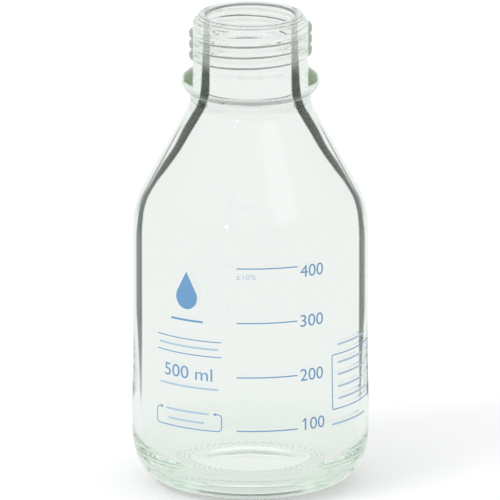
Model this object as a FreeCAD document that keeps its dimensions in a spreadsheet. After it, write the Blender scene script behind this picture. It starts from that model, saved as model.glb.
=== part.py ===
import FreeCAD
import Part
import math
import os
import Sketcher

# Laboratory bottle of clear glass with a neck for a 45 mm screw closure, shown open.
# One hollow glass piece: bearing ring, heel, straight wall, conical shoulder, drip bead,
# right-handed thread and lip.  Millimetres, +Z up, origin at the centre of the foot.

doc = FreeCAD.newDocument("bottle")
sizes = doc.addObject("Spreadsheet::Sheet", "Sizes")

# Sizes that are set by themselves.  Depths below the lip are counted down from it, so that a
# taller or shorter bottle keeps its neck and changes its straight wall.
SIZES = [
    # Whole bottle
    ("total_height", "175"),
    ("body_radius", "43.25"),
    ("panel_recess", "0.53"),
    ("wall_thickness", "3.02"),
    # Foot: bearing ring, recess under the base, heel curve and label panel
    ("ring_inset", "13.95"),
    ("ring_width", "7"),
    ("ring_drop", "0.45"),
    ("recess_rise", "3.8"),
    ("recess_bevel", "9"),
    ("heel_height", "20"),
    ("heel_sweep", "29.3"),
    ("heel_turn", "23"),
    ("band_height", "8"),
    ("panel_taper", "12"),
    # Shoulder and waist below the bead
    ("shoulder_sweep", "29"),
    ("cone_angle", "28.9"),
    ("waist_radius", "21.95"),
    ("waist_sweep", "10.3"),
    ("waist_height", "2.1"),
    # Drip bead
    ("bead_depth", "24.7"),
    ("bead_reach", "3.05"),
    ("bead_sweep", "4.2"),
    ("bead_turn", "48"),
    ("bead_land", "0.5"),
    ("bead_edge", "0.7"),
    ("facet_angle", "48"),
    # Neck, thread and lip
    ("neck_depth", "18.1"),
    ("collar_reach", "0.6"),
    ("collar_taper", "1.3"),
    ("root_radius", "20.4"),
    ("ridge_height", "2"),
    ("thread_depth", "17.35"),
    ("thread_pitch", "4"),
    ("full_turns", "2.5"),
    ("lead_in_turns", "0.5"),
    ("run_out_turns", "0.75"),
    ("ridge_gap", "0.6"),
    ("crest_width", "1.3"),
    ("ridge_bury", "0.8"),
    ("band_depth", "1.3"),
    ("band_step", "1.4"),
    ("band_bevel", "0.7"),
    ("lip_edge", "0.9"),
    ("lip_width", "1"),
    ("bore_edge", "1.2"),
    # Inside of the bottle
    ("throat_bevel", "6.8"),
    ("shoulder_wall", "3.2"),
    ("inner_shoulder_sweep", "26"),
    ("base_thickness", "7.6"),
    ("inner_heel", "12.5"),
]

# Radii and heights that follow from them
POINTS = [
    ("panel_radius", "=body_radius - panel_recess"),
    ("ring_outer", "=body_radius - ring_inset"),
    ("ring_inner", "=ring_outer - ring_width"),
    ("recess_flat", "=ring_inner - recess_bevel"),
    ("corner_r", "=body_radius - heel_sweep * (1 - cos(heel_turn))"),
    ("corner_z", "=heel_height - heel_sweep * sin(heel_turn)"),
    ("corner_sweep", "=(corner_z - ring_drop) / (1 - sin(heel_turn))"),
    ("corner_centre", "=corner_r - corner_sweep * cos(heel_turn)"),
    ("ring_step", "=ring_drop + corner_sweep - sqrt(corner_sweep ^ 2 - (ring_outer - corner_centre) ^ 2)"),
    ("band_top", "=heel_height + band_height"),
    ("panel_bottom", "=band_top + panel_taper"),
    ("bead_radius", "=waist_radius + bead_reach"),
    ("bead_z", "=total_height - bead_depth"),
    ("bead_low_r", "=bead_radius - bead_sweep * (1 - cos(bead_turn))"),
    ("bead_low_z", "=bead_z - bead_sweep * sin(bead_turn)"),
    ("bead_start_z", "=bead_low_z - (bead_low_r - waist_radius) * tan(90 - bead_turn)"),
    ("bead_land_z", "=bead_z + bead_land"),
    ("facet_low_r", "=bead_radius - bead_edge * tan(facet_angle / 2)"),
    ("facet_low_z", "=bead_land_z + bead_edge"),
    ("neck_radius", "=root_radius + collar_reach"),
    ("facet_top_z", "=facet_low_z + (facet_low_r - neck_radius) / tan(facet_angle)"),
    ("neck_z", "=total_height - neck_depth"),
    ("root_z", "=neck_z + collar_taper"),
    ("waist_z", "=bead_start_z - waist_height"),
    ("cone_top_r", "=waist_radius + waist_sweep * (1 - cos(cone_angle))"),
    ("cone_top_z", "=waist_z - waist_sweep * sin(cone_angle)"),
    ("cone_low_r", "=panel_radius - shoulder_sweep * (1 - cos(cone_angle))"),
    ("cone_low_z", "=cone_top_z - (cone_low_r - cone_top_r) / tan(cone_angle)"),
    ("shoulder_z", "=cone_low_z - shoulder_sweep * sin(cone_angle)"),
    ("band_z", "=total_height - band_depth"),
    ("root_top_z", "=band_z - band_bevel"),
    ("band_radius", "=root_radius - band_step"),
    ("lip_z", "=total_height - lip_edge"),
    ("lip_outer", "=band_radius - lip_edge"),
    ("lip_inner", "=lip_outer - lip_width"),
    ("bore_radius", "=lip_inner - bore_edge"),
    ("bore_z", "=total_height - bore_edge"),
    ("wall_radius", "=panel_radius - wall_thickness"),
    ("inner_cone_r", "=wall_radius - inner_shoulder_sweep * (1 - cos(cone_angle))"),
    ("inner_cone_z",
     "=cone_low_z + (cone_low_r - shoulder_wall / cos(cone_angle) - inner_cone_r) / tan(cone_angle)"),
    ("inner_shoulder_z", "=inner_cone_z - inner_shoulder_sweep * sin(cone_angle)"),
    ("inner_bend_r", "=wall_radius - inner_shoulder_sweep * (1 - cos(cone_angle / 2))"),
    ("inner_bend_z", "=inner_shoulder_z + inner_shoulder_sweep * sin(cone_angle / 2)"),
    ("throat_low_r", "=bore_radius + throat_bevel * tan(cone_angle / 2)"),
    ("throat_low_z", "=inner_cone_z + (inner_cone_r - throat_low_r) / tan(cone_angle)"),
    ("throat_z", "=throat_low_z + throat_bevel"),
    ("floor_edge", "=wall_radius - inner_heel"),
    ("heel_low_r", "=floor_edge + inner_heel * sin(30)"),
    ("heel_low_z", "=base_thickness + inner_heel * (1 - cos(30))"),
    ("heel_high_r", "=floor_edge + inner_heel * cos(30)"),
    ("heel_high_z", "=base_thickness + inner_heel * (1 - sin(30))"),
    ("heel_top_z", "=base_thickness + inner_heel"),
    ("above_lip", "=total_height + bore_edge"),
    ("crest_radius", "=root_radius + ridge_height"),
    ("ridge_foot", "=(thread_pitch - ridge_gap) / 2"),
    ("crest_half", "=crest_width / 2"),
    ("thread_z", "=total_height - thread_depth"),
    ("thread_full_z", "=thread_z + thread_pitch * lead_in_turns"),
    ("thread_end_z", "=thread_full_z + thread_pitch * full_turns"),
    ("lead_in_growth", "=ridge_height / lead_in_turns"),
    ("run_out_growth", "=-ridge_height / run_out_turns"),
]

for row, (alias, value) in enumerate(SIZES + POINTS, start=1):
    sizes.set("A%d" % row, alias)
    sizes.set("B%d" % row, value)
    sizes.setAlias("B%d" % row, alias)
doc.recompute()


def size(rule):
    """Value of a named size, or of a sum of them such as 'bead_z - bead_land'."""
    total = 0.0
    sign = 1.0
    for word in rule.split():
        if word == "+":
            sign = 1.0
        elif word == "-":
            sign = -1.0
        else:
            total = total + sign * float(sizes.get(word))
    return total


def bound(rule):
    """The same rule written for an expression that reads the sheet."""
    words = []
    for word in rule.split():
        words.append(word if word in "+-" else "<<Sizes>>." + word)
    return " ".join(words)


bottle = doc.addObject("PartDesign::Body", "bottle")
bottle.Label = "bottle"
upright = None
for feature in bottle.Origin.OriginFeatures:
    if feature.Role == "XZ_Plane":
        upright = feature


def new_sketch(name):
    sketch = bottle.newObject("Sketcher::SketchObject", name)
    sketch.Label = name
    sketch.AttachmentSupport = (upright, [""])
    sketch.MapMode = "FlatFace"
    return sketch


def round_edge(centre, radius, first, last):
    """Arc that runs counterclockwise from first to last."""
    begin = math.atan2(first.y - centre.y, first.x - centre.x)
    finish = math.atan2(last.y - centre.y, last.x - centre.x)
    if finish < begin:
        finish = finish + 2 * math.pi
    circle = Part.Circle(centre, FreeCAD.Vector(0, 0, 1), radius)
    return Part.ArcOfCircle(circle, begin, finish)


def draw(sketch, corners, bends, side=1):
    """Closed outline through corners of named radius and height.  bends maps a corner's place
    in the list to the arc that leaves it: the name of its radius, and whether it bulges."""
    vector = FreeCAD.Vector
    spots = []
    for r_rule, z_rule in corners:
        x = 0.0 if r_rule is None else side * size(r_rule)
        y = 0.0 if z_rule is None else size(z_rule)
        spots.append(vector(x, y, 0))
    count = len(corners)
    starts = []
    for i in range(count):
        a = spots[i]
        b = spots[(i + 1) % count]
        if i not in bends:
            sketch.addGeometry(Part.LineSegment(a, b), False)
            starts.append(1)
            continue
        radius = size(bends[i][0])
        left = bends[i][1]
        chord = b - a
        half = chord.Length / 2
        normal = vector(-chord.y, chord.x, 0)
        normal.normalize()
        reach = math.sqrt(radius * radius - half * half)
        if left:
            sketch.addGeometry(round_edge((a + b) * 0.5 + normal * reach, radius, a, b), False)
            starts.append(1)
        else:
            sketch.addGeometry(round_edge((a + b) * 0.5 - normal * reach, radius, b, a), False)
            starts.append(2)
    for i in range(count):
        after = (i + 1) % count
        sketch.addConstraint(Sketcher.Constraint("Coincident", i, 3 - starts[i], after, starts[after]))
    for i in range(count):
        r_rule, z_rule = corners[i]
        if r_rule is None:
            sketch.addConstraint(Sketcher.Constraint("PointOnObject", i, starts[i], -2))
        else:
            n = sketch.addConstraint(
                Sketcher.Constraint("DistanceX", -1, 1, i, starts[i], spots[i].x))
            rule = bound(r_rule)
            sketch.setExpression("Constraints[%d]" % n, rule if side > 0 else "-(" + rule + ")")
        if z_rule is None:
            sketch.addConstraint(Sketcher.Constraint("PointOnObject", i, starts[i], -1))
        else:
            n = sketch.addConstraint(
                Sketcher.Constraint("DistanceY", -1, 1, i, starts[i], spots[i].y))
            sketch.setExpression("Constraints[%d]" % n, bound(z_rule))
    for i in bends:
        n = sketch.addConstraint(Sketcher.Constraint("Radius", i, size(bends[i][0])))
        sketch.setExpression("Constraints[%d]" % n, bound(bends[i][0]))
    sketch.Visibility = False


# Outside of the glass, from the recess under the base up to the lip
outside = new_sketch("outside_outline")
draw(outside, [
    (None, "recess_rise"),
    ("recess_flat", "recess_rise"),
    ("ring_inner", None),
    ("ring_outer", None),
    ("ring_outer", "ring_step"),
    ("corner_r", "corner_z"),
    ("body_radius", "heel_height"),
    ("body_radius", "band_top"),
    ("panel_radius", "panel_bottom"),
    ("panel_radius", "shoulder_z"),
    ("cone_low_r", "cone_low_z"),
    ("cone_top_r", "cone_top_z"),
    ("waist_radius", "waist_z"),
    ("waist_radius", "bead_start_z"),
    ("bead_low_r", "bead_low_z"),
    ("bead_radius", "bead_z"),
    ("bead_radius", "bead_land_z"),
    ("facet_low_r", "facet_low_z"),
    ("neck_radius", "facet_top_z"),
    ("neck_radius", "neck_z"),
    ("root_radius", "root_z"),
    ("root_radius", "root_top_z"),
    ("band_radius", "band_z"),
    ("band_radius", "lip_z"),
    ("lip_outer", "total_height"),
    (None, "total_height"),
], {
    4: ("corner_sweep", True),
    5: ("heel_sweep", True),
    9: ("shoulder_sweep", True),
    11: ("waist_sweep", False),
    14: ("bead_sweep", True),
})
glass = bottle.newObject("PartDesign::Revolution", "glass_outside")
glass.Profile = outside
glass.ReferenceAxis = (outside, ["V_Axis"])
glass.Angle = 360
doc.recompute()


def ridge(name, crest, height, side):
    """Section of the thread's ridge, with its crest at a named radius and height."""
    sketch = new_sketch(name)
    draw(sketch, [
        (crest + " - ridge_height - ridge_bury", height + " - ridge_foot"),
        (crest, height + " - crest_half"),
        (crest, height + " + crest_half"),
        (crest + " - ridge_height - ridge_bury", height + " + ridge_foot"),
    ], {}, side)
    return sketch


def wind(name, sketch, mode, rules):
    """Carry a ridge section up the neck along a right-handed helix."""
    helix = bottle.newObject("PartDesign::AdditiveHelix", name)
    helix.Label = name
    helix.Profile = sketch
    helix.ReferenceAxis = (sketch, ["V_Axis"])
    helix.Mode = mode
    helix.LeftHanded = False
    helix.Reversed = False
    for prop, rule in rules:
        helix.setExpression(prop, rule)
    doc.recompute()
    return helix


# Single-start thread: half a turn grows out of the neck on the right, two and a half turns
# stand full from the left, and the last three quarters sink back towards the front.
wind("thread_full", ridge("full_section", "crest_radius", "thread_full_z", -1), 1, [
    ("Pitch", "<<Sizes>>.thread_pitch"),
    ("Turns", "<<Sizes>>.full_turns"),
])
wind("thread_lead_in", ridge("lead_in_section", "root_radius", "thread_z", 1), 3, [
    ("Turns", "<<Sizes>>.lead_in_turns"),
    ("Height", "<<Sizes>>.thread_pitch * <<Sizes>>.lead_in_turns"),
    ("Growth", "<<Sizes>>.lead_in_growth"),
])
wind("thread_run_out", ridge("run_out_section", "crest_radius", "thread_end_z", 1), 3, [
    ("Turns", "<<Sizes>>.run_out_turns"),
    ("Height", "<<Sizes>>.thread_pitch * <<Sizes>>.run_out_turns"),
    ("Growth", "<<Sizes>>.run_out_growth"),
])

# Inside of the bottle: floor, heel, wall, shoulder, throat and bore with its eased edge
inside = new_sketch("inside_outline")
draw(inside, [
    (None, "base_thickness"),
    ("floor_edge", "base_thickness"),
    ("heel_low_r", "heel_low_z"),
    ("heel_high_r", "heel_high_z"),
    ("wall_radius", "heel_top_z"),
    ("wall_radius", "inner_shoulder_z"),
    ("inner_bend_r", "inner_bend_z"),
    ("inner_cone_r", "inner_cone_z"),
    ("throat_low_r", "throat_low_z"),
    ("bore_radius", "throat_z"),
    ("bore_radius", "bore_z"),
    ("lip_inner", "total_height"),
    ("lip_inner", "above_lip"),
    (None, "above_lip"),
], {})
solid_volume = bottle.Shape.Volume
hollow = bottle.newObject("PartDesign::Groove", "hollow")
hollow.Profile = inside
hollow.ReferenceAxis = (inside, ["V_Axis"])
hollow.Angle = 360
doc.recompute()
if bottle.Shape.Volume > 0.5 * solid_volume:
    raise RuntimeError("the hollow was not cut")

for item in doc.Objects:
    if "Invalid" in item.State or "Error" in item.State:
        raise RuntimeError("failed: " + item.Name)
    if item.isDerivedFrom("Part::Feature"):
        if item.Shape.isNull() or not item.Shape.isValid():
            raise RuntimeError("bad shape: " + item.Name)

os.makedirs("parts", exist_ok=True)
for body in [bottle]:
    body.Shape.exportStep("parts/" + body.Label + ".step")
    print(body.Label, "solids", len(body.Shape.Solids), "volume", round(body.Shape.Volume))
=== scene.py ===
# A clear glass laboratory bottle with a light blue enamel print, open, on a pale floor.
import math
import bmesh
import bpy
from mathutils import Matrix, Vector


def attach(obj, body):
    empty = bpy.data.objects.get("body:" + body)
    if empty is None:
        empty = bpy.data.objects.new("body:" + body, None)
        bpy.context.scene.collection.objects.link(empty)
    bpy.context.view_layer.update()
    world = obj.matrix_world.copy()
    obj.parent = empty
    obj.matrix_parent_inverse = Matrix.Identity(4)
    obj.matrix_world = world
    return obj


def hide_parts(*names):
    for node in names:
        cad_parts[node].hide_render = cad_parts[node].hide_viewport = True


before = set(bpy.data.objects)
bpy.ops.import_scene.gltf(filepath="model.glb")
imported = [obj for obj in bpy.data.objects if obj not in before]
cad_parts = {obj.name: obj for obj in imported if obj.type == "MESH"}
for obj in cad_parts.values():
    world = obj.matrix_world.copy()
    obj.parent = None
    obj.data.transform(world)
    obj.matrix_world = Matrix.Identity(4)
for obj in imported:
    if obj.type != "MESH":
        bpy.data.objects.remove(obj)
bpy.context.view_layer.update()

MM = 0.001  # one millimetre in the frame's metres
WHITE = (1, 1, 1, 1)

# Body of the bottle. All sizes are in millimetres, where nothing else is said.
TOTAL_HEIGHT = 175
BODY_RADIUS = 43.15
PANEL_RADIUS = 42.72
WALL_RADIUS = 39.7
RECESS_RISE = 3.8
RING_INNER = 22.3
RING_OUTER = 29.3
WAIST_RADIUS = 21.95
BEAD_RADIUS = 25
NECK_RADIUS = 21
BORE_RADIUS = 15.9
LIP_RADIUS = 18.85

# Screw thread
ROOT_RADIUS = 20.4
RIDGE_HEIGHT = 2
PITCH = 4
THREAD_START = 157.65
LEAD_IN = 0.5  # in turns, as the next two
FULL_TURNS = 2.5
RUN_OUT = 0.75
THREAD_FOOT = 156.7
THREAD_TOP = 172.75
NECK_STEP_TOP = 158.2
ROW_STEP = 0.2
CREST_HALF = 0.5
RIDGE_HALF = 1.75

# Marks on the bearing ring
MARK_ROWS = (22.9, 24.9, 26.9, 28.8)
MARKS_IN_A_ROW = 60
MARK_HEIGHT = 0.45
MARK_HALF_LENGTH = 0.55
MARK_HALF_WIDTH = 0.42
MARK_REACH = 1.25  # as a share of the half length and the half width
RING_STEP = 0.3

# Fineness of the mesh
COLUMNS = 240
RING_COLUMNS = 480
ARC_STEP = 4  # in degrees
LINE_STEP = 5

# Glass, and the colour that it has where light goes a long way through it
GLASS_IOR = 1.473
THICK_COLOUR = (0.6, 0.92, 0.66, 1)
THICK_DENSITY = 0.8

# Painted shade: dark bands painted into the glass's colour near its edges, where thick glass bends dark
# surroundings into view. Each row is a height above the foot, then where the band starts and ends there, as
# distances from the axis seen from any side, and how dark it is. The band starts about where the inside ends.
PAINTED_BANDS = (
    (30, 39.9, 40.1, 0.8), (40, 39.7, 40.4, 0.88), (50, 39.6, 40.8, 0.95), (60, 39.5, 41.3, 0.98),
    (68, 39.5, 41.7, 0.99), (92, 39.5, 41.7, 0.99), (99, 39.4, 41.3, 1), (106.9, 38.2, 39.8, 1),
    (113.6, 34.9, 36.2, 1), (120.8, 30, 32.1, 1), (127.5, 25.5, 27.9, 1), (134.6, 21.3, 24.2, 1),
    (138.9, 18.7, 21.7, 1), (143, 16.6, 19.6, 1), (149, 15.1, 18.4, 1), (155, 14.8, 17.8, 1),
    (159, 14.8, 17.6, 0.88), (167, 14.8, 17.2, 0.65), (175, 14.9, 17, 0.45),
)
# Colour of the painted shade in the glass's colour and in its reflections
PAINTED_SHADE_COLOUR = (0.012, 0.016, 0.012, 1)
BAND_EDGE = 0.32  # half the width of a soft edge
BAND_FOOT = (30, 38)  # heights over which the bands begin
BAND_STEEP = (0.5, 0.8)  # sines of the steepness at which the bands start to fade, and are gone
BOTH_SIDES_START = (154, 157)  # above this the glass is shaded for light inside it too

# A thinner dark line of painted shade near the shoulder's very edge. Its place and fade are shares of the
# radius there.
EDGE_LINE_PLACE = 0.984
EDGE_LINE_FADE = (0.003, 0.009)
EDGE_LINE_SHARE = 0.9
EDGE_LINE_HEIGHTS = (98, 108, 130, 140)

# Shade under the bead and the thread's ridges, and on the lip's round edges. The slopes are the
# height of a normal one unit long, downwards on the flanks.
FLANK_SLOPES = (0.25, 0.65)
FLANK_SHARE = 0.97
BEAD_FLANK_START = (145.5, 146.5)
BEAD_FLANK_SHARE = 0.72
THREAD_FLANK_START = (153.5, 156.5)
LIP_SLOPES = (0.15, 0.4, 0.75, 0.95)
LIP_EDGE_START = (173.2, 173.6)
LIP_EDGE_SHARE = 0.85

# Painted dark green shade where the bead and the ends of the thread's ridges are seen through thick glass:
# the nearest and furthest distance from the axis, seen from any side, the lowest and highest height, and how
# strong the shade is
FACETS = ((20.9, 24.2, 151, 155.2, 1), (20.9, 22.3, 157.5, 172.5, 0.9))
GREEN_SHADE_COLOUR = (0.075, 0.11, 0.045, 1)
FACET_EDGE = 0.3  # half the width of a soft edge

# The pale green heel, and painted shade on the marks under it where they meet the floor
HEEL_COLOUR = (0.815, 0.87, 0.815, 1)
HEEL_START = (RING_INNER - 0.2, RING_INNER + 0.4)  # distances from the axis over which it begins
HEEL_TOP = (4, 26)  # heights over which it ends
MARK_FADE = (0.35 * MARK_HEIGHT, 0.9 * MARK_HEIGHT)  # heights over which the marks lose their shade

# Print. Its places are along the wall from its front, to the right, and above the foot.
PRINT_GAP = 0.02
PRINT_THICKNESS = 0.06
PRINT_STEP = 1
LINE_WIDTH = 0.45
THIN_LINE = 0.38
ROW_LINE = 0.75
ARROW_LENGTH = 1.5
ARROW_HALF = 0.6
SCALE_LEFT = -5.1
SCALE_RIGHT = 17.5
SCALE_LINES = (29.5, 49.5, 69.9, 90.3)
NUMBER_HEIGHT = 4.5
END_PARTS = 6
CORNER_PARTS = 6
DROP_PARTS = 24

# Enamel of the print, with its grain
INK_COLOUR = (0.16, 0.36, 0.62)
PALE_INK_COLOUR = (0.47, 0.63, 0.78)
ENAMEL_ROUGHNESS = 0.45
GRAIN_SCALE = 900
GRAIN_DETAIL = 3
GRAIN_CHANGE = 0.1
GRAIN_STRENGTH = 0.1
GRAIN_DEPTH = 0.02

# Camera, with its distance and target in metres
CAMERA_DISTANCE = 6.071
CAMERA_ELEVATION = math.radians(14.75)
CAMERA_TARGET = Vector((-0.0002, 0, 0.0862))
CAMERA_LENS = 1200
CAMERA_SENSOR = 36
CAMERA_CLIP_END = 100

# Studio. Levels are strengths of light, and heights are those of directions one unit long.
WORLD_LIGHT = 0.85
SWEEP_LEVEL = 0.9
SWEEP_COLOUR = (0.955, 1, 0.97, 1)
HAZE_LEVEL = 0.82
HAZE_HEIGHTS = (0, 0.25)
TOP_LEVEL = 1.1
TOP_HEIGHTS = (0.25, 0.75)
SOFTBOX_PLACE = Vector((0.52, -0.58, 0.63)).normalized()
SOFTBOX_EDGE = (0.95, 0.995)
SOFTBOX_LEVEL = 0.5
KEY_LAMP = ((-1.6, -1.4, 2.2), (0, 0, 0.09), (1.2, 0.25), 20)  # place, target, size in metres, watts
SPARK_LAMP = ((-0.96, -2.1, 1.06), (0, 0, 0.1), (0.13, 0.2), 1)
FLOOR_GLOW = 0.3
FLOOR_COLOUR = (0.8, 0.8, 0.8, 1)
FLOOR_RADIUS = 4  # in metres
FLOOR_SIDES = 64
FLOOR_DROP = 0.2
GLASS_BOUNCES = 128


def outline(start, *stretches):
    """Points as radius + height j along stretches of radius, height and turn in degrees. A turn of 0
    is straight."""
    points = [complex(*start)]
    for radius, height, turn in stretches:
        origin = points[-1]
        chord = complex(radius, height) - origin
        if turn == 0:
            parts = max(1, math.ceil(abs(chord) / LINE_STEP))
            points += [origin + chord * i / parts for i in range(1, parts + 1)]
            continue
        half = math.radians(turn) / 2
        parts = max(2, math.ceil(abs(turn) / ARC_STEP))
        for i in range(1, parts + 1):
            angle = half * i / parts
            reach = math.sin(angle) / math.sin(half)
            points.append(origin + chord * reach * complex(math.cos(angle - half), math.sin(angle - half)))
    return points


RECESS = outline((0.6, RECESS_RISE), (19.5, 0.68, -19.3), (RING_INNER, MARK_HEIGHT, 19.4))
OUTSIDE = outline(
    (RING_OUTER, MARK_HEIGHT),
    (30.2, 0.85, 8),
    (40.92, 8.55, 60.4),
    (BODY_RADIUS, 20, 23),
    (BODY_RADIUS, 27, 0),
    (43.07, 36, 2.3),
    (PANEL_RADIUS, 55, -2.3),
    (PANEL_RADIUS, 95.8, 0),
    (39.11, 109.8, 28.9),
    (23.23, 138.6, 0),
    (WAIST_RADIUS, 143.6, -28.9),
    (WAIST_RADIUS, 145, 0),
    (22.35, 145.89, -48),
    (23.61, 147.03, 0),
    (BEAD_RADIUS, 150.15, 48),
    (BEAD_RADIUS, 150.6, 0),
    (24.45, 151.76, 50.6),
    (21.69, 154.02, 0),
    (NECK_RADIUS, 155.49, -50.6),
    (NECK_RADIUS, THREAD_FOOT, 0),
)
LIP = outline(
    (ROOT_RADIUS, THREAD_TOP),
    (20.15, 173.18, 60),
    (19.2, 173.3, 0),
    (LIP_RADIUS, 173.65, -60),
    (LIP_RADIUS, 174.55, 0),
    (18.55, TOTAL_HEIGHT, 90),
    (17.3, TOTAL_HEIGHT, 0),
    (BORE_RADIUS, 173.6, 90),
)
INSIDE = outline(
    (BORE_RADIUS, 173.6),
    (BORE_RADIUS, 148.77, 0),
    (17.65, 142, 28.9),
    (36.455, 107.98, 0),
    (WALL_RADIUS, 95.4, -28.9),
    (WALL_RADIUS, 20.1, 0),
    (26.33, 7.63, -94),
    (0.6, 8.55, 4),
)


def smooth(value):
    """Eases from 0 to 1 as value goes from 0 to 1."""
    value = min(1, max(0, value))
    return value * value * (3 - 2 * value)


def ridge(turn, height):
    """How far the thread stands out of the neck at a turn from 0 to 1 and a height."""
    total = LEAD_IN + FULL_TURNS + RUN_OUT
    tallest = 0
    for lap in range(math.ceil(total)):
        along = turn + lap
        if along > total:
            continue
        reach = smooth(min(along / LEAD_IN, (total - along) / RUN_OUT, 1))
        off = abs(height - THREAD_START - PITCH * along)
        flank = 1 - smooth((off - CREST_HALF) / (RIDGE_HALF - CREST_HALF))
        tallest = max(tallest, RIDGE_HEIGHT * reach * flank)
    return tallest


def mark(turn, radius):
    """1 on top of one of the bearing ring's small radial marks, 0 between them."""
    best = 0
    for number, middle in enumerate(MARK_ROWS):
        place = turn * MARKS_IN_A_ROW + number / 2
        sideways = (place - round(place)) * math.tau * radius / MARKS_IN_A_ROW / MARK_HALF_WIDTH
        along = (radius - middle) / MARK_HALF_LENGTH
        best = max(best, 1 - smooth(math.hypot(sideways, along) / MARK_REACH))
    return best


def ring_of_points(columns, place):
    """A row of points round the axis. place gives the radius and height at a turn from 0 to 1."""
    row = []
    for column in range(columns):
        turn = column / columns
        radius, height = place(turn)
        row.append((radius * math.cos(math.tau * turn), radius * math.sin(math.tau * turn), height))
    return row


def turned(points, columns=COLUMNS):
    """Rows of a turned outline."""
    return [ring_of_points(columns, lambda turn: (point.real, point.imag)) for point in points]


def neck_rows():
    """Rows of the threaded neck."""
    rows = []
    count = round((THREAD_TOP - THREAD_FOOT) / ROW_STEP)
    for i in range(1, count):
        height = THREAD_FOOT + i * (THREAD_TOP - THREAD_FOOT) / count
        eased = smooth((height - THREAD_FOOT) / (NECK_STEP_TOP - THREAD_FOOT))
        root = NECK_RADIUS + (ROOT_RADIUS - NECK_RADIUS) * eased
        rows.append(ring_of_points(COLUMNS, lambda turn: (root + ridge(turn, height), height)))
    return rows


def ring_rows():
    """Rows of the bearing ring with its marks, which reach down to the floor."""
    rows = []
    count = round((RING_OUTER - RING_INNER) / RING_STEP)
    for i in range(1, count):
        radius = RING_INNER + i * (RING_OUTER - RING_INNER) / count
        row = ring_of_points(RING_COLUMNS, lambda turn: (radius, MARK_HEIGHT * (1 - mark(turn, radius))))
        rows.append(row)
    return rows


def skin(rows):
    """A closed bmesh over rows from the foot's middle, round the lip and down to the floor's middle."""
    mesh = bmesh.new()
    loops = [[mesh.verts.new([MM * part for part in point]) for point in row] for row in rows]
    for low, high in zip(loops, loops[1:]):
        if len(low) == len(high):
            for i in range(len(low)):
                j = (i + 1) % len(low)
                mesh.faces.new((low[i], low[j], high[j], high[i]))
            continue
        few, many = sorted((low, high), key=len)
        for i in range(len(few)):
            j = (i + 1) % len(few)
            a, b, c = many[2 * i], many[2 * i + 1], many[(2 * i + 2) % len(many)]
            for corners in ((few[i], few[j], b), (few[i], b, a), (few[j], c, b)):
                mesh.faces.new(corners[::-1] if few is high else corners)
    mesh.faces.new(loops[0][::-1])
    mesh.faces.new(loops[-1])
    bmesh.ops.recalc_face_normals(mesh, faces=mesh.faces)
    for face in mesh.faces:
        face.smooth = True
    return mesh


def add_piece(name, mesh, material):
    """A piece of the object at the origin that rides on the bottle's body."""
    data = bpy.data.meshes.new(name)
    mesh.to_mesh(data)
    mesh.free()
    data.materials.append(material)
    piece = bpy.data.objects.new(name, data)
    bpy.context.scene.collection.objects.link(piece)
    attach(piece, "root")
    return piece


def new_material(name):
    """A material with nodes, its node tree and its shader."""
    material = bpy.data.materials.new(name)
    material.use_nodes = True
    return material, material.node_tree, material.node_tree.nodes["Principled BSDF"]


def set_inputs(tree, node, inputs):
    """Sets inputs, by their name or place, to numbers, colours or other nodes' sockets."""
    for key, value in inputs.items():
        if isinstance(value, bpy.types.NodeSocket):
            tree.links.new(value, node.inputs[key])
        else:
            node.inputs[key].default_value = value


def add_node(tree, kind, inputs=None, operation=None):
    """A new shader node with its inputs and its operation."""
    node = tree.nodes.new("ShaderNode" + kind)
    if operation:
        node.operation = operation
    set_inputs(tree, node, inputs or {})
    return node


def calculate(tree, operation, *values, clamp=False):
    """The result of a maths node."""
    node = add_node(tree, "Math", dict(enumerate(values)), operation)
    node.use_clamp = clamp
    return node.outputs[0]


def product(tree, value, *others):
    """All values multiplied."""
    for other in others:
        value = calculate(tree, "MULTIPLY", value, other)
    return value


def ease(tree, value, low, high, start=0, end=1):
    """Goes smoothly from start to end as value goes from low to high."""
    limits = {"From Min": low, "From Max": high, "To Min": start, "To Max": end}
    node = add_node(tree, "MapRange", {"Value": value, **limits})
    node.interpolation_type = "SMOOTHSTEP"
    return node.outputs["Result"]


def ease_mm(tree, value, limits, start=0, end=1):
    """Goes smoothly from start to end between two limits in millimetres."""
    return ease(tree, value, limits[0] * MM, limits[1] * MM, start, end)


def hill(tree, value, limits, unit=1):
    """Rises from 0 to 1 between the first two limits, and falls back between the last two."""
    first, second, third, last = [limit * unit for limit in limits]
    return product(tree, ease(tree, value, first, second), ease(tree, value, third, last, 1, 0))


def mixed(tree, share, first, second):
    """A colour that goes from first to second as share goes from 0 to 1."""
    return add_node(tree, "MixRGB", {"Fac": share, "Color1": first, "Color2": second}).outputs["Color"]


def curve_over_height(tree, height, values):
    """A value that follows pairs of a height in millimetres and a value from 0 to 1 up the bottle."""
    share = calculate(tree, "DIVIDE", height, TOTAL_HEIGHT * MM)
    node = add_node(tree, "FloatCurve", {"Value": share})
    points = node.mapping.curves[0].points
    while len(points) < len(values):
        points.new(0.5, 0.5)
    for point, (place, value) in zip(points, values):
        point.location = (place / TOTAL_HEIGHT, value)
        point.handle_type = "AUTO_CLAMPED"
    node.mapping.update()
    return node.outputs["Value"]


def towards_viewer(tree, direction):
    """1 where a direction points along the view, 0 where it points across it."""
    weight = add_node(tree, "LayerWeight", {"Blend": 0.5, "Normal": direction})
    return calculate(tree, "SUBTRACT", 1, weight.outputs["Facing"])


def cosine_of_sine(tree, sine):
    """The cosine of the angle with this sine, or the other way round."""
    return calculate(tree, "SQRT", calculate(tree, "SUBTRACT", 1, product(tree, sine, sine)))


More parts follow.
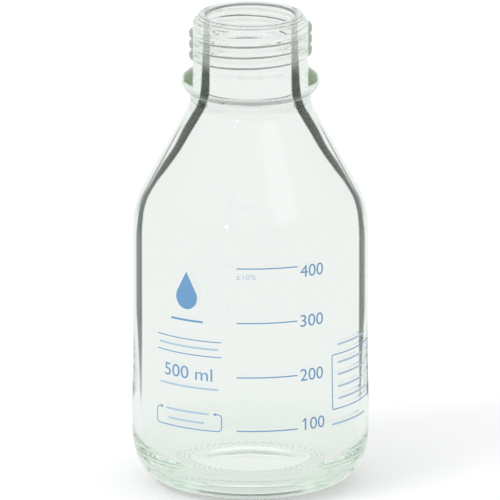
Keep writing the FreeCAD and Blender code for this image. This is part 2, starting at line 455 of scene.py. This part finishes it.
def glass_places(tree):
    """A point's height, its distance from the axis, the share of that distance by which it is seen to
    one side of the axis, and 1 for views from the side or 0 for steep ones."""
    position = add_node(tree, "TexCoord").outputs["Object"]
    height = add_node(tree, "SeparateXYZ", {0: position}).outputs["Z"]
    level = add_node(tree, "VectorMath", {0: position, 1: (1, 1, 0)}, "MULTIPLY").outputs["Vector"]
    from_axis = add_node(tree, "VectorMath", {0: level}, "LENGTH").outputs["Value"]
    outwards = add_node(tree, "VectorMath", {0: level}, "NORMALIZE").outputs["Vector"]
    steep = towards_viewer(tree, add_node(tree, "CombineXYZ", {"Z": 1}).outputs["Vector"])
    facing = towards_viewer(tree, outwards)
    facing = calculate(tree, "DIVIDE", facing, cosine_of_sine(tree, steep), clamp=True)
    return height, from_axis, cosine_of_sine(tree, facing), ease(tree, steep, *BAND_STEEP, 1, 0)


def painted_dark_bands(tree, height, across, aside):
    """Up to 1 in the painted shade of dark bands near the edges of thick round glass, 0 elsewhere."""
    share = curve_over_height(tree, height, [(row[0], row[3]) for row in PAINTED_BANDS])
    for column, side in ((1, 1), (2, -1)):
        edge = curve_over_height(tree, height, [(row[0], row[column] / TOTAL_HEIGHT) for row in PAINTED_BANDS])
        edge = product(tree, edge, TOTAL_HEIGHT * MM)
        past = product(tree, calculate(tree, "SUBTRACT", across, edge), side)
        share = product(tree, ease_mm(tree, past, (-BAND_EDGE, BAND_EDGE)), share)
    share = product(tree, share, ease_mm(tree, height, BAND_FOOT))
    off = calculate(tree, "ABSOLUTE", calculate(tree, "SUBTRACT", aside, EDGE_LINE_PLACE))
    edge_line = ease(tree, off, *EDGE_LINE_FADE, EDGE_LINE_SHARE, 0)
    edge_line = product(tree, edge_line, hill(tree, height, EDGE_LINE_HEIGHTS, MM))
    return calculate(tree, "MAXIMUM", share, edge_line)


def shaded_flanks(tree, height):
    """Up to FLANK_SHARE under the bead and the thread's ridges, which gather little light, and up to
    LIP_EDGE_SHARE on the lip's round edges."""
    normal = add_node(tree, "NewGeometry").outputs["Normal"]
    slope = add_node(tree, "SeparateXYZ", {0: normal}).outputs["Z"]
    under = ease(tree, product(tree, slope, -1), *FLANK_SLOPES, 0, FLANK_SHARE)
    under = product(tree, under, ease_mm(tree, height, THREAD_FLANK_START, BEAD_FLANK_SHARE, 1))
    under = product(tree, under, ease_mm(tree, height, BEAD_FLANK_START))
    lip = ease_mm(tree, height, LIP_EDGE_START, 0, LIP_EDGE_SHARE)
    lip = product(tree, hill(tree, slope, LIP_SLOPES), lip)
    return calculate(tree, "MAXIMUM", under, lip)


def painted_green_shade(tree, height, across):
    """Up to 1 where dark green shade is painted on the bead and the ends of the thread's ridges, 0 elsewhere.
    """
    total = 0
    for near, far, bottom, top, strength in FACETS:
        facet = strength
        for value, low, high in ((across, near, far), (height, bottom, top)):
            limits = (low - FACET_EDGE, low + FACET_EDGE, high - FACET_EDGE, high + FACET_EDGE)
            facet = product(tree, facet, hill(tree, value, limits, MM))
        total = calculate(tree, "ADD", total, facet)
    return total


def glass_material():
    """Clear borosilicate glass, green where it is thick. Its colour has painted shade: dark bands near its
    edges, dark green on the bead and the thread's ends, shade under the ridges and at the marks' feet, and
    darkened reflections there.
    """
    material, tree, shader = new_material("clear_glass")
    height, from_axis, aside, from_side = glass_places(tree)
    across = product(tree, aside, from_axis)
    on_outside = add_node(tree, "Attribute")
    on_outside.attribute_name = "outside"
    outer = calculate(tree, "GREATER_THAN", on_outside.outputs["Fac"], 0.5)
    front = calculate(tree, "SUBTRACT", 1, add_node(tree, "NewGeometry").outputs["Backfacing"])
    # Painted shade: dark bands near the edges, and shade under the bead and the ridges and on the lip's edges
    shade = product(tree, painted_dark_bands(tree, height, across, aside), from_side)
    shade = calculate(tree, "MAXIMUM", shade, shaded_flanks(tree, height))
    lit_side = calculate(tree, "MAXIMUM", front, ease_mm(tree, height, BOTH_SIDES_START))
    shade = product(tree, shade, lit_side, outer)
    # Painted dark green shade on the bead and the ends of the thread's ridges
    green_shade = product(tree, painted_green_shade(tree, height, across), outer, front, from_side)
    heel = product(tree, ease_mm(tree, from_axis, HEEL_START), ease_mm(tree, height, HEEL_TOP, 1, 0), outer)
    # Painted shade on the bearing ring's marks where they meet the floor
    marks = ease_mm(tree, height, MARK_FADE, 1, 0)
    tint = mixed(tree, heel, WHITE, HEEL_COLOUR)
    tint = mixed(tree, calculate(tree, "MAXIMUM", shade, marks), tint, PAINTED_SHADE_COLOUR)
    # Reflections darkened where shade is painted
    shaded_reflection = mixed(tree, shade, WHITE, PAINTED_SHADE_COLOUR)
    set_inputs(tree, shader, {
        "Base Color": mixed(tree, green_shade, tint, GREEN_SHADE_COLOUR),
        "Specular Tint": mixed(tree, green_shade, shaded_reflection, GREEN_SHADE_COLOUR),
        "Roughness": 0,
        "IOR": GLASS_IOR,
        "Transmission Weight": 1,
    })
    absorb = add_node(tree, "VolumeAbsorption", {"Color": THICK_COLOUR, "Density": THICK_DENSITY})
    set_inputs(tree, tree.nodes["Material Output"], {"Volume": absorb.outputs["Volume"]})
    return material


def enamel_material(name, colour):
    """Fired enamel print: matt, with fine grain and slightly uneven cover."""
    material, tree, shader = new_material(name)
    position = add_node(tree, "TexCoord").outputs["Object"]
    noise = add_node(tree, "TexNoise", {"Vector": position, "Scale": GRAIN_SCALE, "Detail": GRAIN_DETAIL})
    grain = noise.outputs["Fac"]
    ramp = add_node(tree, "ValToRGB", {"Fac": grain})
    ramp.color_ramp.elements[0].color = (*[part * (1 - GRAIN_CHANGE) for part in colour], 1)
    ramp.color_ramp.elements[1].color = (*[min(1, part * (1 + GRAIN_CHANGE)) for part in colour], 1)
    bump = add_node(tree, "Bump", {"Strength": GRAIN_STRENGTH, "Distance": GRAIN_DEPTH * MM, "Height": grain})
    set_inputs(tree, shader, {
        "Base Color": ramp.outputs["Color"],
        "Roughness": ENAMEL_ROUGHNESS,
        "Normal": bump.outputs["Normal"],
    })
    return material


def glass_radius(height):
    """The outside radius of the bottle at a height on its straight wall."""
    for low, high in zip(OUTSIDE, OUTSIDE[1:]):
        if low.imag <= height < high.imag:
            share = (height - low.imag) / (high.imag - low.imag)
            return low.real + share * (high.real - low.real)
    return PANEL_RADIUS


def printed(name, shapes, material):
    """A piece of print: flat shapes, bent round the wall and given the thickness of the enamel."""
    mesh = bmesh.new()
    for shape in shapes:
        shape(mesh)
    across = [vertex.co.x for vertex in mesh.verts]
    place = min(across) + PRINT_STEP
    while place < max(across):
        parts = mesh.verts[:] + mesh.edges[:] + mesh.faces[:]
        bmesh.ops.bisect_plane(mesh, geom=parts, plane_co=(place, 0, 0), plane_no=(1, 0, 0))
        place += PRINT_STEP
    for vertex in mesh.verts:
        along, height = vertex.co.x, vertex.co.y
        angle = along / PANEL_RADIUS
        radius = glass_radius(height) + PRINT_GAP
        vertex.co = Vector((radius * math.sin(angle), -radius * math.cos(angle), height)) * MM
    thickness = add_piece(name, mesh, material).modifiers.new("thickness", "SOLIDIFY")
    thickness.thickness = PRINT_THICKNESS * MM
    thickness.offset = 1


def polygon(points):
    """A flat filled outline."""
    def draw(mesh):
        mesh.faces.new([mesh.verts.new((*point, 0)) for point in points])
    return draw


def bar(left, right, middle, width):
    """A level line with round ends. middle is its height, as in the other shapes of the print."""
    points = []
    for end, start in ((right - width / 2, -90), (left + width / 2, 90)):
        for i in range(END_PARTS + 1):
            angle = math.radians(start + i * 180 / END_PARTS)
            points.append((end + width / 2 * math.cos(angle), middle + width / 2 * math.sin(angle)))
    return polygon(points)


def stroke(points, width):
    """A line of even width along points, with mitred corners."""
    def draw(mesh):
        sides = []
        for i, point in enumerate(points):
            here = Vector(point)
            before = (here - Vector(points[i - 1])).normalized() if i else None
            after = (Vector(points[i + 1]) - here).normalized() if i + 1 < len(points) else None
            way = ((before or after) + (after or before)).normalized()
            reach = Vector((-way.y, way.x)) * (width / 2 / way.dot(after or before))
            sides.append([mesh.verts.new((*place, 0)) for place in (here + reach, here - reach)])
        for (a, b), (c, d) in zip(sides, sides[1:]):
            mesh.faces.new((a, b, d, c))
    return draw


def words(body, left, right, middle, height):
    """Plain characters that fill a box of the print."""
    def draw(mesh):
        curve = bpy.data.curves.new("characters", "FONT")
        curve.body = body
        text = bpy.data.objects.new("characters", curve)
        flat = bpy.data.meshes.new_from_object(text)
        across = [vertex.co.x for vertex in flat.vertices]
        up = [vertex.co.y for vertex in flat.vertices]
        start = min(across)
        foot = min(up)
        widen = (right - left) / (max(across) - start)
        heighten = height / (max(up) - foot)
        low = middle - height / 2
        corners = []
        for x, y in zip(across, up):
            corners.append(mesh.verts.new((left + widen * (x - start), low + heighten * (y - foot), 0)))
        for face in flat.polygons:
            mesh.faces.new([corners[number] for number in face.vertices])
        bpy.data.objects.remove(text)
        bpy.data.curves.remove(curve)
        bpy.data.meshes.remove(flat)
    return draw


def quarter_turn(x, y, radius, start):
    """Points of a quarter turn to the left round a middle, from a heading in degrees."""
    points = []
    for i in range(CORNER_PARTS + 1):
        heading = math.radians(start + i * 90 / CORNER_PARTS)
        points.append((x + radius * math.sin(heading), y - radius * math.cos(heading)))
    return points


def frame_line(left, right, low, high, radius, gap_left, gap_right):
    """A thin frame with round corners, open along its top between two places."""
    points = [(gap_left, high)]
    points += quarter_turn(left + radius, high - radius, radius, 180)
    points += quarter_turn(left + radius, low + radius, radius, 270)
    points += quarter_turn(right - radius, low + radius, radius, 0)
    points += quarter_turn(right - radius, high - radius, radius, 90)
    points.append((gap_right, high))
    return stroke(points, THIN_LINE)


def arrowhead(tip, middle, way):
    """A small level arrowhead."""
    base = tip - way * ARROW_LENGTH
    points = [(base, middle - ARROW_HALF), (tip, middle), (base, middle + ARROW_HALF)]
    return polygon(points[::way])


def drop(middle_x, middle_y, width, height):
    """A plain drop, round below and pointed above."""
    round_half = width / 2
    centre = middle_y - height / 2 + round_half
    tip = middle_y + height / 2
    lean = math.degrees(math.asin(round_half / (tip - centre)))
    points = [(middle_x, tip)]
    for i in reversed(range(DROP_PARTS + 1)):
        angle = math.radians(lean - i * (180 + 2 * lean) / DROP_PARTS)
        points.append((middle_x + round_half * math.cos(angle), centre + round_half * math.sin(angle)))
    return polygon(points)


def add_bottle():
    """The glass. Its outside attribute is 1 on the foot, wall, neck and lip, and 0 on the inside."""
    outer_rows = turned(RECESS, RING_COLUMNS) + ring_rows() + turned(OUTSIDE) + neck_rows() + turned(LIP[:-1])
    bottle = add_piece("glass_bottle", skin(outer_rows + turned(INSIDE)), glass_material())
    outside = bottle.data.attributes.new("outside", "FLOAT", "POINT")
    for number in range(sum(len(row) for row in outer_rows)):
        outside.data[number].value = 1
    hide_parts("bottle")


def add_print():
    """The scale and the field beside it, a plain drop, and rows and frames in place of words."""
    ink = enamel_material("blue_enamel", INK_COLOUR)
    pale_ink = enamel_material("pale_enamel", PALE_INK_COLOUR)
    printed("scale_lines", [bar(SCALE_LEFT, SCALE_RIGHT, height, LINE_WIDTH) for height in SCALE_LINES], ink)
    printed("scale_numbers", [
        words("400", 18.6, 28.2, 88.4, NUMBER_HEIGHT),
        words("300", 18.6, 28.2, 69.75, NUMBER_HEIGHT),
        words("200", 18.6, 28.2, 49.4, NUMBER_HEIGHT),
        words("100", 20.2, 28.6, 31, NUMBER_HEIGHT),
        stroke([(19.3, 32), (20.5, 33.05)], LINE_WIDTH),
    ], ink)
    printed("scale_tolerance", [words("±10%", -5.3, 2, 87.2, 2.1)], pale_ink)
    printed("capacity", [
        words("500 ml", -34.7, -14.1, 49.8, 4.7),
        bar(-38.6, -10.7, 62.3, THIN_LINE),
        bar(-38.6, -10.7, 56.7, THIN_LINE),
        drop(-24.6, 80.5, 9, 14),
    ], ink)
    printed("name_bar", [bar(-31.6, -17.7, 69.4, ROW_LINE)], ink)
    printed("pale_rows", [
        bar(-37.6, -11.8, 59.5, ROW_LINE),
        bar(-37.2, -11.7, 44.5, ROW_LINE),
        bar(-33.8, -15.2, 35.2, ROW_LINE),
        bar(-32.6, -17, 31.7, ROW_LINE),
    ], pale_ink)
    printed("code_frame", [
        frame_line(-38.4, -10.5, 29, 35.3, 1.5, -36.3, -12.6),
        arrowhead(-34.9, 35.3, 1),
        arrowhead(-14, 35.3, -1),
    ], ink)
    printed("data_frame", [frame_line(32.6, 62, 34.4, 54.8, 0.6, 47.3, 47.3)], ink)
    printed("data_rows", [
        bar(35.4, 56, 58.4, ROW_LINE),
        bar(35.6, 52, 51.6, ROW_LINE),
        bar(35.6, 56, 47.1, ROW_LINE),
        bar(35.6, 53.5, 42.6, ROW_LINE),
        bar(35.6, 57, 38.1, ROW_LINE),
        bar(32.2, 55, 28.9, ROW_LINE),
    ], pale_ink)


def add_camera():
    """A camera with a long lens that looks slightly down on the bottle's front."""
    data = bpy.data.cameras.new("photo_camera")
    data.lens = CAMERA_LENS
    data.sensor_width = CAMERA_SENSOR
    data.clip_end = CAMERA_CLIP_END
    camera = bpy.data.objects.new("photo_camera", data)
    back = Vector((0, -math.cos(CAMERA_ELEVATION), math.sin(CAMERA_ELEVATION)))
    camera.location = CAMERA_TARGET + CAMERA_DISTANCE * back
    camera.rotation_euler = (math.pi / 2 - CAMERA_ELEVATION, 0, 0)
    bpy.context.scene.collection.objects.link(camera)
    bpy.context.scene.camera = camera


def lamp(name, place, target, size, power):
    """A soft area lamp of a width and a height, aimed at a target, that isn't seen through glass."""
    data = bpy.data.lights.new(name, "AREA")
    data.shape = "RECTANGLE"
    data.size, data.size_y = size
    data.energy = power
    light = bpy.data.objects.new(name, data)
    light.location = place
    light.rotation_euler = (Vector(target) - Vector(place)).to_track_quat("-Z", "Y").to_euler()
    light.visible_transmission = False
    bpy.context.scene.collection.objects.link(light)
    return light


def add_lamps():
    """A key lamp without a reflection, and a small one for the highlight on the shoulder."""
    lamp("key", *KEY_LAMP).visible_glossy = False
    lamp("spark", *SPARK_LAMP)


def ray_kinds(tree):
    """1 for rays from the camera, and 1 for rays that glass or a mirror has sent on."""
    path = add_node(tree, "LightPath").outputs
    clear = calculate(tree, "MAXIMUM", path["Is Glossy Ray"], path["Is Transmission Ray"])
    return path["Is Camera Ray"], clear


def studio_world():
    """Soft even light, white to the camera. Mirrors and glass see a white sweep, a dimmer haze above it,
    a bright top and a softbox, all faintly green."""
    world = bpy.data.worlds.new("studio")
    bpy.context.scene.world = world
    world.use_nodes = True
    tree = world.node_tree
    direction = add_node(tree, "TexCoord").outputs["Generated"]
    up = add_node(tree, "SeparateXYZ", {0: direction}).outputs["Z"]
    room = ease(tree, up, *HAZE_HEIGHTS, SWEEP_LEVEL, HAZE_LEVEL)
    top = ease(tree, up, *TOP_HEIGHTS, 0, TOP_LEVEL - HAZE_LEVEL)
    towards = add_node(tree, "VectorMath", {0: direction, 1: SOFTBOX_PLACE}, "DOT_PRODUCT").outputs["Value"]
    softbox = ease(tree, towards, *SOFTBOX_EDGE, 0, SOFTBOX_LEVEL)
    seen = calculate(tree, "ADD", calculate(tree, "ADD", room, top), softbox)
    from_camera, clear = ray_kinds(tree)
    light = ease(tree, from_camera, 0, 1, WORLD_LIGHT, 1)
    plain = product(tree, calculate(tree, "SUBTRACT", 1, clear), light)
    set_inputs(tree, tree.nodes["Background"], {
        "Color": mixed(tree, clear, WHITE, SWEEP_COLOUR),
        "Strength": calculate(tree, "ADD", product(tree, clear, seen), plain),
    })


def pale_floor():
    """A wide pale floor. The camera, mirrors and glass see it white, and it keeps the bottle's shadow."""
    mesh = bmesh.new()
    bmesh.ops.create_circle(mesh, cap_ends=True, segments=FLOOR_SIDES, radius=FLOOR_RADIUS)
    data = bpy.data.meshes.new("floor")
    mesh.to_mesh(data)
    mesh.free()
    floor = bpy.data.objects.new("floor", data)
    floor.location.z = -FLOOR_DROP * MM
    bpy.context.scene.collection.objects.link(floor)
    material, tree, shader = new_material("pale_floor")
    data.materials.append(material)
    tree.nodes.remove(shader)
    from_camera, clear = ray_kinds(tree)
    seen = product(tree, clear, SWEEP_LEVEL)
    strength = calculate(tree, "MAXIMUM", product(tree, from_camera, FLOOR_GLOW), seen)
    glow = add_node(tree, "Emission", {"Color": SWEEP_COLOUR, "Strength": strength}).outputs["Emission"]
    lit = add_node(tree, "BsdfDiffuse", {"Color": FLOOR_COLOUR}).outputs["BSDF"]
    both = add_node(tree, "AddShader", {0: lit, 1: glow}).outputs["Shader"]
    # Glass and mirrors see the glow alone, and all other rays see the lit floor too
    choice = add_node(tree, "MixShader", {"Fac": clear, 1: both, 2: glow})
    set_inputs(tree, tree.nodes["Material Output"], {"Surface": choice.outputs["Shader"]})


add_bottle()
add_print()
add_camera()
add_lamps()
studio_world()
pale_floor()
bpy.context.scene.view_settings.view_transform = "Standard"
# Light that runs round inside the thick heel and thread needs many bounces before it leaves
bpy.context.scene.cycles.max_bounces = GLASS_BOUNCES
bpy.context.scene.cycles.glossy_bounces = GLASS_BOUNCES
bpy.context.scene.cycles.transmission_bounces = GLASS_BOUNCES
